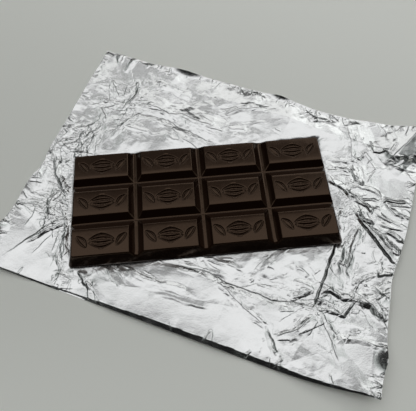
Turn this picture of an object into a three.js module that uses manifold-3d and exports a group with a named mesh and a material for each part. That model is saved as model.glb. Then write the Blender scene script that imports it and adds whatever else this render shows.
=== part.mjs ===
// A scored dark chocolate bar lying on its opened foil wrapper.
// Millimetres, +Z up, +X along the bar. The origin is under the middle of the bar, on the surface it lies on.
// The bar is one moulded solid: a tapered block, cut by V grooves into a grid of pieces, each with a sunk
// cocoa pod between two leaves. The wrapper is one thin creased sheet, turned under the bar. It keeps the
// long folds, the end folds and the corner stars that are left in foil after it was wrapped round the bar.

import * as THREE from 'three';
import Module from 'manifold-3d';

const wasm = await Module();
wasm.setup();

// The bar
const BAR_LENGTH = 154;
const BAR_WIDTH = 70.6;
const BAR_HEIGHT = 8.7;
const COLUMNS = 4;
const ROWS = 3;
const PITCH_X = 38.2; // from groove to groove along the bar
const PITCH_Y = 23.9;
const GROOVE_DEPTH = 3.1;
const CROSS_GROOVE = { halfTop: 4.1, halfFloor: 0.85 }; // between columns
const LONG_GROOVE = { halfTop: 4.2, halfFloor: 0.45 }; // between rows
const EDGE_EASE = 0.4; // how far the top edges along the grooves are eased
const WALL_TAPER = 2.8; // how far an outer wall leans in from foot to rim
const RIM_ROUND = 0.95; // the rounding where an outer wall meets the top
const FOOT_ROUND = 0.5;
const CORNER_RADIUS = 1.8;
const CORNER_STEPS = 4;
const ROUND_KNEE = 0.3; // a rounding is two flats, which meet this share of its radius from either end
const CLEAR = 5; // how far a cutter runs past what it cuts

// The sunk ornament on each piece: a ribbed cocoa pod between two leaves
const LINE_DEPTH = 0.95; // of the line round each lobe
const CREST_DROP = 0.15; // how far the middle of a lobe lies below the top face
const LINE_SHARE = 0.72; // where the bottom of the line lies, as a share of the lobe's half width
const CREST_SHARE = 0.3;
const TIP_PINCH = 0.06; // how much shorter than its outline a lobe's crest is
const LOBE_STEPS = 6;
const POD_RIB = { tip: 7, halfWidth: 1.7 };
const POD_FLANK = { tip: 7.6, tipOffset: 0.45, bow: 2.3, halfWidth: 1.6 };
const LEAF = { near: [8.2, -3.7], far: [14, 3.7], bow: 0.6, halfWidth: 2 };

// The wrapper, measured along (s) and across (t) the sheet from its middle
const FOIL_LENGTH = 220;
const FOIL_WIDTH = 166;
const FOIL_THICKNESS = 0.5;
const FOIL_TURN = THREE.MathUtils.degToRad(-25); // from the bar's long side to the sheet's
const FOIL_CENTRE = new THREE.Vector2(8.8, 2);
const FOIL_CELLS_LONG = 46;
const FOIL_CELLS_WIDE = 34;
const REST_GAP = 0.3; // between the sheet and the bar that rests on it
const PRESSED_FLAT = 3; // the sheet is flat this far out from the bar
const FREE_FROM = 14; // and takes its full height from here
const FOLDS_S = [75, 83.7]; // where the bar's end edges were
const FOLDS_T = [33.3, 42]; // and its long edges
const LONG_FOLD = { rise: [1.2, 1.8], reach: [5, 8] };
const END_FOLD = { rise: [2.2, 2.0], reach: [8, 7] };
const STAR_FOLD = { rise: [2.6, 1.2], reach: [6, 6] };
const STAR_SPOKES = [[0.55, 1], [1, 0.6], [1, 0.1]]; // out from each corner of the outer folds
const PLEAT = { from: [88, 53], to: [108, 84], rise: [0.5, 5], reach: [14, 7] };
const RIMS = { front: 3.4, back: 1.2, right: 2.2, left: 1.8 }; // how far each edge stands up
const RIM_RUN = 26; // over this width
const RAISED_CORNERS = [
  { at: [110, -83], rise: 5, reach: 44 },
  { at: [110, 83], rise: 7, reach: 42 },
  { at: [-110, -83], rise: 2, reach: 30 },
];
const GATHERS = [ // where an edge is drawn in, and how far either way and inwards
  { edge: 'right', at: -22, span: 24, depth: 3.6 },
  { edge: 'left', at: -18, span: 16, depth: 2.6 },
  { edge: 'back', at: 46, span: 24, depth: 3 },
  { edge: 'front', at: 112, span: 24, depth: 3 },
];
const GATHER_RUN = 30;
const CRUMPLES = [
  { cell: 25, turn: 0.4, rise: 0.9, seed: 3 },
  { cell: 12, turn: 1.1, rise: 0.5, seed: 7 },
];
const SAG = 0.9; // the height of level foil between its folds

// ---------------------------------------------------------------------------------------------- solids

// A geometry from points and triangles, all turned round if they enclose a negative volume.
function outward(points, index) {
  const moment = (i) => points[index[i]].dot(points[index[i + 1]].clone().cross(points[index[i + 2]]));
  let volume = 0;
  for (let i = 0; i < index.length; i += 3) volume += moment(i);
  if (volume < 0) index.reverse();
  const geometry = new THREE.BufferGeometry().setFromPoints(points);
  geometry.setIndex(index);
  geometry.computeVertexNormals();
  return geometry;
}

// A closed body between like rings of points. Its two ends are flat and are divided as their x and y say.
function loft(rings, flatten = (p) => new THREE.Vector2(p.x, p.y)) {
  const size = rings[0].length;
  const index = [];
  for (let start = 0; start < (rings.length - 1) * size; start += size) {
    for (let i = 0; i < size; i += 1) {
      const a = start + i;
      const b = start + ((i + 1) % size);
      index.push(a, b, b + size, a, b + size, a + size);
    }
  }
  const last = (rings.length - 1) * size;
  for (const [a, b, c] of THREE.ShapeUtils.triangulateShape(rings[0].map(flatten), [])) index.push(c, b, a);
  for (const [a, b, c] of THREE.ShapeUtils.triangulateShape(rings.at(-1).map(flatten), [])) {
    index.push(last + a, last + b, last + c);
  }
  return outward(rings.flat(), index);
}

function toSolid(geometry) {
  return new wasm.Manifold(new wasm.Mesh({
    numProp: 3,
    vertProperties: geometry.attributes.position.array,
    triVerts: new Uint32Array(geometry.index.array),
  }));
}

function toGeometry(solid) {
  const mesh = solid.getMesh();
  const geometry = new THREE.BufferGeometry();
  geometry.setAttribute('position', new THREE.BufferAttribute(mesh.vertProperties, 3));
  geometry.setIndex(new THREE.BufferAttribute(mesh.triVerts, 1));
  geometry.computeVertexNormals();
  return geometry;
}

// --------------------------------------------------------------------------------------------- the bar

// The bar's outline with round corners, drawn in by inset, at height z.
function outlineAt(inset, z) {
  const halfX = BAR_LENGTH / 2 - inset;
  const halfY = BAR_WIDTH / 2 - inset;
  const shape = new THREE.Shape();
  for (const [x, y, turns] of [[1, 1, 0], [-1, 1, 1], [-1, -1, 2], [1, -1, 3]]) {
    const start = (turns * Math.PI) / 2;
    const centre = [x * (halfX - CORNER_RADIUS), y * (halfY - CORNER_RADIUS)];
    shape.absarc(...centre, CORNER_RADIUS, start, start + Math.PI / 2);
  }
  return shape.getPoints(CORNER_STEPS).slice(0, -1).map((p) => new THREE.Vector3(p.x, p.y, z));
}

function block() {
  const foot = ROUND_KNEE * FOOT_ROUND;
  const rim = ROUND_KNEE * RIM_ROUND;
  return loft([
    outlineAt(FOOT_ROUND, 0),
    outlineAt(foot, foot),
    outlineAt(0, FOOT_ROUND),
    outlineAt(WALL_TAPER, BAR_HEIGHT - RIM_ROUND),
    outlineAt(WALL_TAPER + rim, BAR_HEIGHT - rim),
    outlineAt(WALL_TAPER + RIM_ROUND, BAR_HEIGHT),
  ]);
}

// A straight V groove with a flat floor and eased top edges, along +X over the origin.
function grooveCutter({ halfTop, halfFloor }, length) {
  const wallSlope = (halfTop - halfFloor) / GROOVE_DEPTH;
  const wallTop = 2 * EDGE_EASE;
  const half = [
    [halfFloor, -GROOVE_DEPTH],
    [halfTop - wallSlope * wallTop, -wallTop],
    [halfTop + ROUND_KNEE * EDGE_EASE, -ROUND_KNEE * EDGE_EASE],
    [halfTop + EDGE_EASE, 0],
    [halfTop + EDGE_EASE, CLEAR],
  ];
  const section = [...half, ...half.map(([across, up]) => [-across, up]).reverse()];
  const ringAt = (x) => section.map(([across, up]) => new THREE.Vector3(x, across, BAR_HEIGHT + up));
  return loft([ringAt(-length / 2), ringAt(length / 2)], (p) => new THREE.Vector2(p.y, p.z));
}

// A pointed oval round a line from one tip to the other that bows to its left. It is cut down to a line at
// LINE_SHARE of its half width and rises again to a low crest.
function lobeCutter(from, to, bow, halfWidth) {
  const tips = [new THREE.Vector2(...from), new THREE.Vector2(...to)];
  const along = tips[1].clone().sub(tips[0]);
  const left = new THREE.Vector2(-along.y, along.x).normalize();
  const ring = (share, z) => {
    const length = 1 - TIP_PINCH * (1 - share);
    return Array.from({ length: 2 * LOBE_STEPS }, (_, i) => {
      const angle = (Math.PI * i) / LOBE_STEPS; // 0 at one tip, pi at the other
      const place = 0.5 - 0.5 * length * Math.cos(angle);
      const offset = bow * Math.sin(Math.PI * place) - share * halfWidth * Math.sin(angle);
      const spot = tips[0].clone().addScaledVector(along, place).addScaledVector(left, offset);
      return new THREE.Vector3(spot.x, spot.y, BAR_HEIGHT + z);
    });
  };
  return loft([
    ring(1, CLEAR),
    ring(1, 0),
    ring(LINE_SHARE, -LINE_DEPTH),
    ring(CREST_SHARE, -CREST_DROP),
  ]);
}

// The cutters of one ornament, round the origin.
function ornament() {
  const { tip, tipOffset, bow, halfWidth } = POD_FLANK;
  const mirrored = ([x, y]) => [-x, y];
  return [
    lobeCutter([-POD_RIB.tip, 0], [POD_RIB.tip, 0], 0, POD_RIB.halfWidth),
    lobeCutter([-tip, tipOffset], [tip, tipOffset], bow, halfWidth),
    lobeCutter([-tip, -tipOffset], [tip, -tipOffset], -bow, halfWidth),
    lobeCutter(LEAF.near, LEAF.far, LEAF.bow, LEAF.halfWidth),
    lobeCutter(mirrored(LEAF.near), mirrored(LEAF.far), -LEAF.bow, LEAF.halfWidth),
  ].map(toSolid);
}

// The places of count things, a pitch apart and centred on 0.
function spaced(count, pitch) {
  return Array.from({ length: count }, (_, i) => (i - (count - 1) / 2) * pitch);
}

function chocolateBar() {
  const crossGroove = toSolid(grooveCutter(CROSS_GROOVE, BAR_WIDTH + CLEAR)).rotate([0, 0, 90]);
  const longGroove = toSolid(grooveCutter(LONG_GROOVE, BAR_LENGTH + CLEAR));
  const lobes = ornament();
  const cutters = [
    ...spaced(COLUMNS - 1, PITCH_X).map((x) => crossGroove.translate([x, 0, 0])),
    ...spaced(ROWS - 1, PITCH_Y).map((y) => longGroove.translate([0, y, 0])),
  ];
  for (const x of spaced(COLUMNS, PITCH_X)) {
    for (const y of spaced(ROWS, PITCH_Y)) cutters.push(...lobes.map((lobe) => lobe.translate([x, y, 0])));
  }
  const bar = cutters.reduce((solid, cutter) => solid.subtract(cutter), toSolid(block()));
  const chocolate = new THREE.MeshStandardMaterial({ color: 0x2e211b, roughness: 0.42, metalness: 0 });
  const mesh = new THREE.Mesh(toGeometry(bar), chocolate);
  mesh.name = 'chocolate_bar';
  mesh.position.z = FOIL_THICKNESS + REST_GAP;
  return mesh;
}

// ----------------------------------------------------------------------------------------- the wrapper

// A repeatable number from -1 to 1 for a lattice point.
function chance(i, j, seed) {
  const wave = Math.sin(i * 127.1 + j * 311.7 + seed * 74.7) * 43758.5453;
  return 2 * (wave - Math.floor(wave)) - 1;
}

// Flat facets between the points of a triangular lattice, each point at a chance height.
function crumple(s, t, { cell, turn, rise, seed }) {
  const spot = new THREE.Vector2(s, t).rotateAround(new THREE.Vector2(), turn).divideScalar(cell);
  const skew = ((spot.x + spot.y) * (Math.sqrt(3) - 1)) / 2;
  const [x, y] = [spot.x + skew, spot.y + skew];
  const [i, j] = [Math.floor(x), Math.floor(y)];
  const most = Math.max(x - i, y - j);
  const least = Math.min(x - i, y - j);
  const near = chance(i, j, seed);
  const side = x - i > y - j ? chance(i + 1, j, seed) : chance(i, j + 1, seed);
  const far = chance(i + 1, j + 1, seed);
  return rise * (near * (1 - most) + side * (most - least) + far * least);
}

// The tent over a straight fold: rise at each end, and how far it reaches to its left and right.
function foldHeight(s, t, { from, to, rise, reach }) {
  const along = new THREE.Vector2(to[0] - from[0], to[1] - from[1]);
  const out = new THREE.Vector2(s - from[0], t - from[1]);
  const share = THREE.MathUtils.clamp(out.dot(along) / along.lengthSq(), 0, 1);
  const width = along.cross(out) > 0 ? reach[0] : reach[1];
  const away = out.addScaledVector(along, -share).length();
  return THREE.MathUtils.lerp(rise[0], rise[1], share) * Math.max(0, 1 - away / width);
}

// Two folds along each long side, two across each end, a star at each corner, and the pleat.
function wrappingFolds() {
  const folds = [PLEAT];
  const [outerS, outerT] = [FOLDS_S[1], FOLDS_T[1]];
  for (const side of [-1, 1]) {
    for (const t of FOLDS_T) folds.push({ ...LONG_FOLD, from: [-outerS, side * t], to: [outerS, side * t] });
    for (const s of FOLDS_S) folds.push({ ...END_FOLD, from: [side * s, -outerT], to: [side * s, outerT] });
    for (const end of [-1, 1]) {
      const corner = [end * outerS, side * outerT];
      const margin = FOIL_LENGTH / 2 - outerS;
      for (const [ds, dt] of STAR_SPOKES) {
        const to = [corner[0] + end * ds * margin, corner[1] + side * dt * margin];
        folds.push({ ...STAR_FOLD, from: corner, to });
      }
    }
  }
  return folds;
}

const FOLDS = wrappingFolds();

// How far inside each edge of the sheet a point lies.
function insideEdges(s, t) {
  return {
    left: s + FOIL_LENGTH / 2,
    right: FOIL_LENGTH / 2 - s,
    front: t + FOIL_WIDTH / 2,
    back: FOIL_WIDTH / 2 - t,
  };
}

function rimHeight(s, t) {
  const inside = insideEdges(s, t);
  const near = (distance, reach) => Math.max(0, 1 - distance / reach);
  const rims = Object.entries(RIMS).map(([edge, rise]) => rise * near(inside[edge], RIM_RUN) ** 2);
  const corners = RAISED_CORNERS.map(({ at, rise, reach }) => (
    rise * near(Math.hypot(s - at[0], t - at[1]), reach)
  ));
  return Math.max(...rims) + Math.max(...corners);
}

// A point of the sheet after its edges are drawn in.
function gathered(s, t) {
  const inside = insideEdges(s, t);
  const spot = new THREE.Vector2(s, t);
  for (const { edge, at, span, depth } of GATHERS) {
    const alongEdge = edge === 'left' || edge === 'right' ? t : s;
    const share = Math.exp(-(((alongEdge - at) / span) ** 2));
    const pull = depth * share * Math.max(0, 1 - inside[edge] / GATHER_RUN);
    if (edge === 'left') spot.x += pull;
    if (edge === 'right') spot.x -= pull;
    if (edge === 'front') spot.y += pull;
    if (edge === 'back') spot.y -= pull;
  }
  return spot;
}

// How far a place lies outside the bar's outline.
function clearOfBar({ x, y }) {
  return Math.hypot(Math.max(Math.abs(x) - BAR_LENGTH / 2, 0), Math.max(Math.abs(y) - BAR_WIDTH / 2, 0));
}

// A point of the sheet's underside, in the bar's frame.
function foilPoint(s, t) {
  const place = gathered(s, t).rotateAround(new THREE.Vector2(), FOIL_TURN).add(FOIL_CENTRE);
  const folded = Math.max(...FOLDS.map((fold) => foldHeight(s, t, fold)));
  const crumpled = CRUMPLES.reduce((sum, layer) => sum + crumple(s, t, layer), SAG);
  const free = THREE.MathUtils.smoothstep(clearOfBar(place), PRESSED_FLAT, FREE_FROM);
  const height = Math.max(0, rimHeight(s, t) + folded + crumpled) * free;
  return new THREE.Vector3(place.x, place.y, height);
}

// The sheet as a closed solid: two like faces, one thickness apart, joined round the edge.
function foilWrapper() {
  const under = [];
  for (let j = 0; j <= FOIL_CELLS_WIDE; j += 1) {
    for (let i = 0; i <= FOIL_CELLS_LONG; i += 1) {
      const s = (i / FOIL_CELLS_LONG - 0.5) * FOIL_LENGTH;
      const t = (j / FOIL_CELLS_WIDE - 0.5) * FOIL_WIDTH;
      under.push(foilPoint(s, t));
    }
  }
  const over = under.map((p) => p.clone().setZ(p.z + FOIL_THICKNESS));
  const row = FOIL_CELLS_LONG + 1;
  const index = [];
  for (let j = 0; j < FOIL_CELLS_WIDE; j += 1) {
    for (let i = 0; i < FOIL_CELLS_LONG; i += 1) {
      const a = j * row + i;
      const c = a + row + 1;
      for (const corners of [[a, c, a + 1], [a, a + row, c]]) {
        index.push(...corners, ...corners.map((corner) => corner + under.length).reverse());
      }
    }
  }
  const rim = [];
  for (let i = 0; i < FOIL_CELLS_LONG; i += 1) rim.push(i);
  for (let j = 0; j < FOIL_CELLS_WIDE; j += 1) rim.push(j * row + FOIL_CELLS_LONG);
  for (let i = FOIL_CELLS_LONG; i > 0; i -= 1) rim.push(FOIL_CELLS_WIDE * row + i);
  for (let j = FOIL_CELLS_WIDE; j > 0; j -= 1) rim.push(j * row);
  rim.forEach((a, k) => {
    const b = rim[(k + 1) % rim.length];
    index.push(a, b, under.length + b, a, under.length + b, under.length + a);
  });
  const foil = new THREE.MeshStandardMaterial({ color: 0xdfe1e0, roughness: 0.3, metalness: 1 });
  const mesh = new THREE.Mesh(outward([...under, ...over], index), foil);
  mesh.name = 'foil_wrapper';
  return mesh;
}

const model = new THREE.Group();
model.add(foilWrapper(), chocolateBar());

export default model;
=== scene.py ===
"""A scored dark chocolate bar on its opened foil wrapper, finished for rendering.

Lengths are millimetres in the bar's frame until a mesh is finished, and metres from there on.
The wrapper is worked out in its own frame: s runs along the sheet and t across it, from its middle.
"""
import math
import random

import bmesh
import bpy
import numpy as np
from mathutils import Matrix, Vector, noise


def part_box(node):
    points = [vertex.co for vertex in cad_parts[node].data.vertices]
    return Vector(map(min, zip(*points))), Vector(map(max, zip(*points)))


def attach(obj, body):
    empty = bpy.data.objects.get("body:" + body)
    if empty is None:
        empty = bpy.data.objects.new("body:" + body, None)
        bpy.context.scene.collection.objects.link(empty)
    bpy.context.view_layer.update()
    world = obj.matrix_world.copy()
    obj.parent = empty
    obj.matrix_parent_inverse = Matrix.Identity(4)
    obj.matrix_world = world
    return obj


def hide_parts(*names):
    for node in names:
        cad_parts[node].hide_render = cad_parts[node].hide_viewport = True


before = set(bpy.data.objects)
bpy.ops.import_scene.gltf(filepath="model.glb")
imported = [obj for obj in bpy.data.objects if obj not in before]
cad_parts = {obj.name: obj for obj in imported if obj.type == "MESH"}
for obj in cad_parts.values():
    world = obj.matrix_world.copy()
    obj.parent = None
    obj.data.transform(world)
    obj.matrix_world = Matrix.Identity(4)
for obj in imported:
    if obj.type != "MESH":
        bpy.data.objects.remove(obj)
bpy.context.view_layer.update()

MM = 0.001
BAR_LOW, BAR_HIGH = (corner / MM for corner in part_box("chocolate_bar"))
FOIL_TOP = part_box("foil_wrapper")[1].z / MM

# The bar
BAR_LENGTH = BAR_HIGH.x - BAR_LOW.x
BAR_WIDTH = BAR_HIGH.y - BAR_LOW.y
BAR_HEIGHT = BAR_HIGH.z - BAR_LOW.z
COLUMNS, ROWS = 4, 3
PITCH_X, PITCH_Y = 38.2, 23.9
GROOVE_DEPTH = 3.1
CROSS_GROOVE = (4.1, 0.85)  # half widths at the top and at the floor, between columns
LONG_GROOVE = (4.2, 0.35)  # and between rows
ALONG_X = (COLUMNS, PITCH_X, CROSS_GROOVE)
ALONG_Y = (ROWS, PITCH_Y, LONG_GROOVE)
PILLOW = 0.10  # how far a piece's top falls towards each pair of its edges
EDGE_EASE, FLOOR_EASE = 0.10, 0.13  # the rounding of a groove's edges and floor, as shares of its wall
WALL_TAPER = 2.8  # how far the outer walls lean in from the foot to the rim
RIM_ROUND = 0.95
FOOT_ROUND = 0.5
CORNER_RADIUS = 1.8
UNEVENNESS = [(11.0, 0.05, 3.0), (3.0, 0.012, 9.0)]  # of the top: cell, height, layer of the noise
UNEVEN_FROM = 2.0  # how far in from the rim all of it is there
LEAN_REACH = 2.2  # how far in from the rim the top's points move out with the leaning wall

# The sunk ornament on each piece: a ribbed cocoa pod between two leaves.
# Each lobe is from, to, how far it bows to the left between them, and its half width.
LOBES = [
    ((-7.0, 0.0), (7.0, 0.0), 0.0, 1.7),
    ((-7.6, 0.45), (7.6, 0.45), 2.3, 1.6),
    ((-7.6, -0.45), (7.6, -0.45), -2.3, 1.6),
    ((8.2, -3.7), (14.0, 3.7), 0.6, 2.0),
    ((-8.2, -3.7), (-14.0, 3.7), -0.6, 2.0),
]
LOBE_FULLNESS = 0.75  # the power of a sine that rounds a lobe: less is fuller
LOBE_TIP = (0.1, 0.8)  # the half widths between which a lobe sinks in from its pointed ends
LINE_DEPTH = 0.95
LINE_START = -0.12  # how far inside a lobe's outline the line round it begins
LINE_INSET = 0.5  # and where its bottom is
CREST_DROP = 0.15  # how far a lobe's crest lies under the top
ORNAMENT_REACH = (14.5, 4.5)

# The wrapper
FOIL_LENGTH, FOIL_WIDTH = 220.0, 166.0
FOIL_TURN = math.radians(-25)
FOIL_CENTRE = Vector((8.8, 2.0))
FOIL_THICKNESS = 0.12
FOIL_GAP = 0.02  # between its underside and the ground, at the least
STRIPS = 10  # the fine mesh is made in strips side by side
CELLS_S, CELLS_T = 760, 570


# ------------------------------------------------------------------------------------------ helpers

def clamp(x, low=0.0, high=1.0):
    return max(low, min(high, x))


def smooth(x, low, high):
    """0 below low, 1 above high, and an even curve between."""
    share = clamp((x - low) / (high - low))
    return share * share * (3 - 2 * share)


def eased(x, low, high):
    """smooth() for many values."""
    share = np.clip((x - low) / (high - low), 0, 1)
    return share * share * (3 - 2 * share)


def finish_piece(bm, name, material):
    """The bmesh, in millimetres, as an object in metres with its material."""
    bmesh.ops.scale(bm, vec=(MM, MM, MM), verts=bm.verts)
    mesh = bpy.data.meshes.new(name)
    bm.to_mesh(mesh)
    bm.free()
    mesh.materials.append(material)
    piece = bpy.data.objects.new(name, mesh)
    bpy.context.scene.collection.objects.link(piece)
    return piece


# ---------------------------------------------------------------------------------------- materials

class Value:
    """A shader socket that takes part in sums."""

    def __init__(self, graph, socket):
        self.graph = graph
        self.socket = socket

    def _math(self, operation, *values, **settings):
        return self.graph.node("ShaderNodeMath", dict(enumerate(values)), operation=operation, **settings)

    def __add__(self, other):
        return self._math("ADD", self, other)

    def __mul__(self, other):
        return self._math("MULTIPLY", self, other)

    __radd__ = __add__
    __rmul__ = __mul__

    def held(self):
        """The value kept between 0 and 1."""
        return self._math("ADD", self, 0.0, use_clamp=True)

    def size(self):
        """The value without its sign."""
        return self._math("ABSOLUTE", self)


class Graph:
    """A node tree with a short way to add a node to it."""

    def __init__(self, tree):
        self.tree = tree
        tree.nodes.clear()

    def node(self, kind, inputs=None, out=0, **settings):
        """A node with its settings, and with its inputs, by name or place, set or linked."""
        node = self.tree.nodes.new(kind)
        for name, value in settings.items():
            setattr(node, name, value)
        for key, value in (inputs or {}).items():
            if isinstance(value, Value):
                self.tree.links.new(value.socket, node.inputs[key])
            else:
                node.inputs[key].default_value = value
        return Value(self, node.outputs[out]) if node.outputs else node

    def place(self):
        """Where a point lies in its object, in metres."""
        return self.node("ShaderNodeTexCoord", out="Object")

    def mix(self, share, first, second):
        """A colour between two colours."""
        return self.node("ShaderNodeMix", {0: share, 6: first, 7: second}, out=2, data_type="RGBA")

    def dot(self, vector, way):
        """How far a vector reaches in a fixed direction."""
        return self.node("ShaderNodeVectorMath", {0: vector, 1: way}, out="Value", operation="DOT_PRODUCT")

    def noise(self, where, scale, detail, roughness=0.55):
        """Cloudy noise with that many cells to a metre."""
        return self.node("ShaderNodeTexNoise", {
            "Vector": where, "Scale": scale, "Detail": detail, "Roughness": roughness,
        })

    def ramp(self, value, low, high, to_low=0.0, to_high=1.0):
        """A value carried from low..high to to_low..to_high along an even curve."""
        ends = dict(enumerate((value, low, high, to_low, to_high)))
        return self.node("ShaderNodeMapRange", ends, interpolation_type="SMOOTHSTEP")

    def bump(self, height, distance, strength, normal=None):
        """A normal that leans with a height, from another normal where one is given."""
        inputs = {"Height": height, "Distance": distance, "Strength": strength}
        if normal is not None:
            inputs["Normal"] = normal
        return self.node("ShaderNodeBump", inputs)

    def surface(self, inputs):
        """Ends the material in a Principled surface."""
        shader = self.node("ShaderNodeBsdfPrincipled", inputs)
        self.node("ShaderNodeOutputMaterial", {0: shader})


def new_material(name):
    """An empty material and its graph."""
    material = bpy.data.materials.new(name)
    material.use_nodes = True
    return material, Graph(material.node_tree)


# A pattern has a scale and a detail, and some have a roughness. A bump is a height in metres and the
# share of it that is felt.
CHOCOLATE, CLOUDED = (0.0072, 0.0026, 0.0012, 1), (0.0098, 0.0038, 0.0018, 1)
SCUFFED, SCUFFED_SHARE = (0.03, 0.02, 0.014, 1), 0.35
GLINT = (1.0, 0.68, 0.47, 1)
CLOUDS, CLOUD_BUMP = (55.0, 4.0), (0.00025, 0.35)
GRAIN, GRAIN_BUMP = (900.0, 3.0), (0.00002, 0.6)
SCUFFS, SCUFF_RANGE = (420.0, 5.0, 0.7), (0.66, 0.76)
MOULDED_ROUGHNESS = (0.12, 0.05, 0.04, 0.12)  # where plain, and what clouds, grain and scuffs add

# The foil turns from its bright colour towards the dark one along its creases, which is painted shade, and
# a little in random mottled patches.
BRIGHT_FOIL, FOIL_SHADE_AND_MOTTLE = (0.71, 0.715, 0.71, 1), (0.08, 0.085, 0.08, 1)
MOTTLE, MOTTLE_RANGE, MOTTLE_DULLS = (40.0, 4.0), (0.5, 0.75), 0.1
CREASE_RANGE, CREASE_SHADE = (0.1, 0.8), 0.9
WRINKLES, WRINKLE_BUMP = (260.0, 5.0, 0.6), (0.0004, 0.2)
ROLLED, ROLLED_BUMP = (1300.0, 2.0), (0.00004, 1.0)
FOIL_ROUGHNESS = (0.20, 0.08, 0.05)  # where plain, and what mottle and creases add

# The front and back right colours are painted light: the table is lighter there, as where more light
# falls. The back one also takes the speckle.
TABLE, TABLE_LIT_FRONT, TABLE_LIT_BACK_AND_SPECKLE = (0.82, 0.83, 0.775, 1), (0.93, 0.94, 0.88, 1), (0.99, 1.0, 0.94, 1)
FRONT_SPAN, BACK_SPAN = (0.02, 0.13), (-0.05, 0.25)  # how far out those colours come in
SPECKLE, SPECKLE_SHARE = (1500.0, 2.0), 0.1
TABLE_ROUGHNESS = 0.65


def chocolate_material():
    """Dark chocolate as it leaves a smooth mould: a soft sheen, faint clouds of bloom, a few scuffs."""
    material, g = new_material("dark_chocolate")
    where = g.place()
    clouds = g.noise(where, *CLOUDS)
    grain = g.noise(where, *GRAIN)
    scuffs = g.ramp(g.noise(where, *SCUFFS), *SCUFF_RANGE)
    colour = g.mix(clouds, CHOCOLATE, CLOUDED)
    colour = g.mix(scuffs * SCUFFED_SHARE, colour, SCUFFED)
    plain, clouded, grainy, scuffed = MOULDED_ROUGHNESS
    normal = g.bump(clouds, *CLOUD_BUMP)
    g.surface({
        "Base Color": colour,
        "Roughness": plain + clouds * clouded + grain * grainy + scuffs * scuffed,
        "Normal": g.bump(grain, *GRAIN_BUMP, normal),
        "Specular IOR Level": 0.5,
        "IOR": 1.5,
        "Specular Tint": GLINT,
    })
    return material


def foil_material():
    """The satin side of aluminium foil, with painted shade along its creases, a little darker at random in
    mottled patches, and finely wrinkled all over.
    """
    material, g = new_material("foil")
    where = g.place()
    crease = g.node("ShaderNodeAttribute", out="Fac", attribute_name="crease")
    mottle = g.noise(where, *MOTTLE)
    # Painted shade along the creases, plus a little random mottle.
    shade_and_mottle = g.ramp(crease, *CREASE_RANGE) * CREASE_SHADE + g.ramp(mottle, *MOTTLE_RANGE) * MOTTLE_DULLS
    plain, mottled, creased = FOIL_ROUGHNESS
    normal = g.bump(g.noise(where, *WRINKLES), *WRINKLE_BUMP)
    g.surface({
        "Base Color": g.mix(shade_and_mottle.held(), BRIGHT_FOIL, FOIL_SHADE_AND_MOTTLE),
        "Metallic": 1.0,
        "Roughness": plain + mottle * mottled + crease * creased,
        "Normal": g.bump(g.noise(where, *ROLLED), *ROLLED_BUMP, normal),
    })
    return material


def table_material():
    """A plain pale grey table top with a faint speckle, and painted light that makes it a little lighter
    towards its front and its back right.
    """
    material, g = new_material("table_top")
    where = g.place()
    front = g.ramp(g.dot(where, (0, -1, 0)), *FRONT_SPAN)
    back = g.ramp(g.dot(where, (0.6, 0.8, 0)), *BACK_SPAN)
    speckle = g.noise(where, *SPECKLE)
    # Painted light: lighter towards the front, and towards the back right, where the random speckle also
    # shows.
    colour = g.mix(front, TABLE, TABLE_LIT_FRONT)
    colour = g.mix(back * (1 - SPECKLE_SHARE) + speckle * SPECKLE_SHARE, colour, TABLE_LIT_BACK_AND_SPECKLE)
    g.surface({"Base Color": colour, "Roughness": TABLE_ROUGHNESS, "Specular IOR Level": 0.3})
    return material


# --------------------------------------------------------------------------------------- the camera

CAMERA_AZIMUTH = math.radians(-3.86)  # from straight in front of the bar
CAMERA_ELEVATION = math.radians(63.75)
CAMERA_ROLL = math.radians(-1.51)
CAMERA_TARGET = Vector((3.45, -4.13, 0.8))
CAMERA_DISTANCE = 264.9
SENSOR_WIDTH = 36.0
LENS = 38.82
CLIP_START = 10.0


def add_camera():
    """The camera, which looks down on the bar from the front."""
    level = math.cos(CAMERA_ELEVATION)
    back = Vector((
        level * math.sin(CAMERA_AZIMUTH), -level * math.cos(CAMERA_AZIMUTH), math.sin(CAMERA_ELEVATION)
    ))
    right = Vector((math.cos(CAMERA_AZIMUTH), math.sin(CAMERA_AZIMUTH), 0))
    up = back.cross(right)
    rolled = right * math.cos(CAMERA_ROLL) + up * math.sin(CAMERA_ROLL)
    data = bpy.data.cameras.new("camera")
    data.sensor_width = SENSOR_WIDTH
    data.lens = LENS
    data.clip_start = CLIP_START * MM
    camera = bpy.data.objects.new("camera", data)
    turn = Matrix((rolled, back.cross(rolled), back)).transposed()
    camera.matrix_world = Matrix.Translation((CAMERA_TARGET + back * CAMERA_DISTANCE) * MM) @ turn.to_4x4()
    bpy.context.scene.collection.objects.link(camera)
    bpy.context.scene.camera = camera


# ------------------------------------------------------------------------------------------ the bar

# Where the grid has lines across a groove's wall, from its floor to its top and a little past it
WALL_SHARES = (0.0, 0.04, 0.08, 0.14, 0.25, 0.5, 0.75, 0.86, 0.92, 0.96, 1.0, 1.04, 1.08)
RIM_STEPS = (0.0, 0.08, 0.25, 0.5, 0.75, 0.95, 1.4, 2.2)  # in from an outer wall
ORNAMENT_CELL = (0.32, 0.26)
PLAIN_CELL = 1.2
WALL_LEVELS = (0.85, 0.6, 0.3, 0.0)  # down an outer wall, as shares of its height over the foot
FOOT_LEVELS, FOOT_STEP = (0.35, 0.7, 1.0), 0.35  # round the foot, as shares of a quarter turn


def stretch(low, high, cell):
    """Places from low up to but not at high, no more than a cell apart."""
    count = max(1, math.ceil((high - low) / cell - 1e-6))
    return [low + (high - low) * i / count for i in range(count)]


def spaced(count, pitch):
    """The places of count things, a pitch apart and centred on 0."""
    return [(i - (count - 1) / 2) * pitch for i in range(count)]


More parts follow.
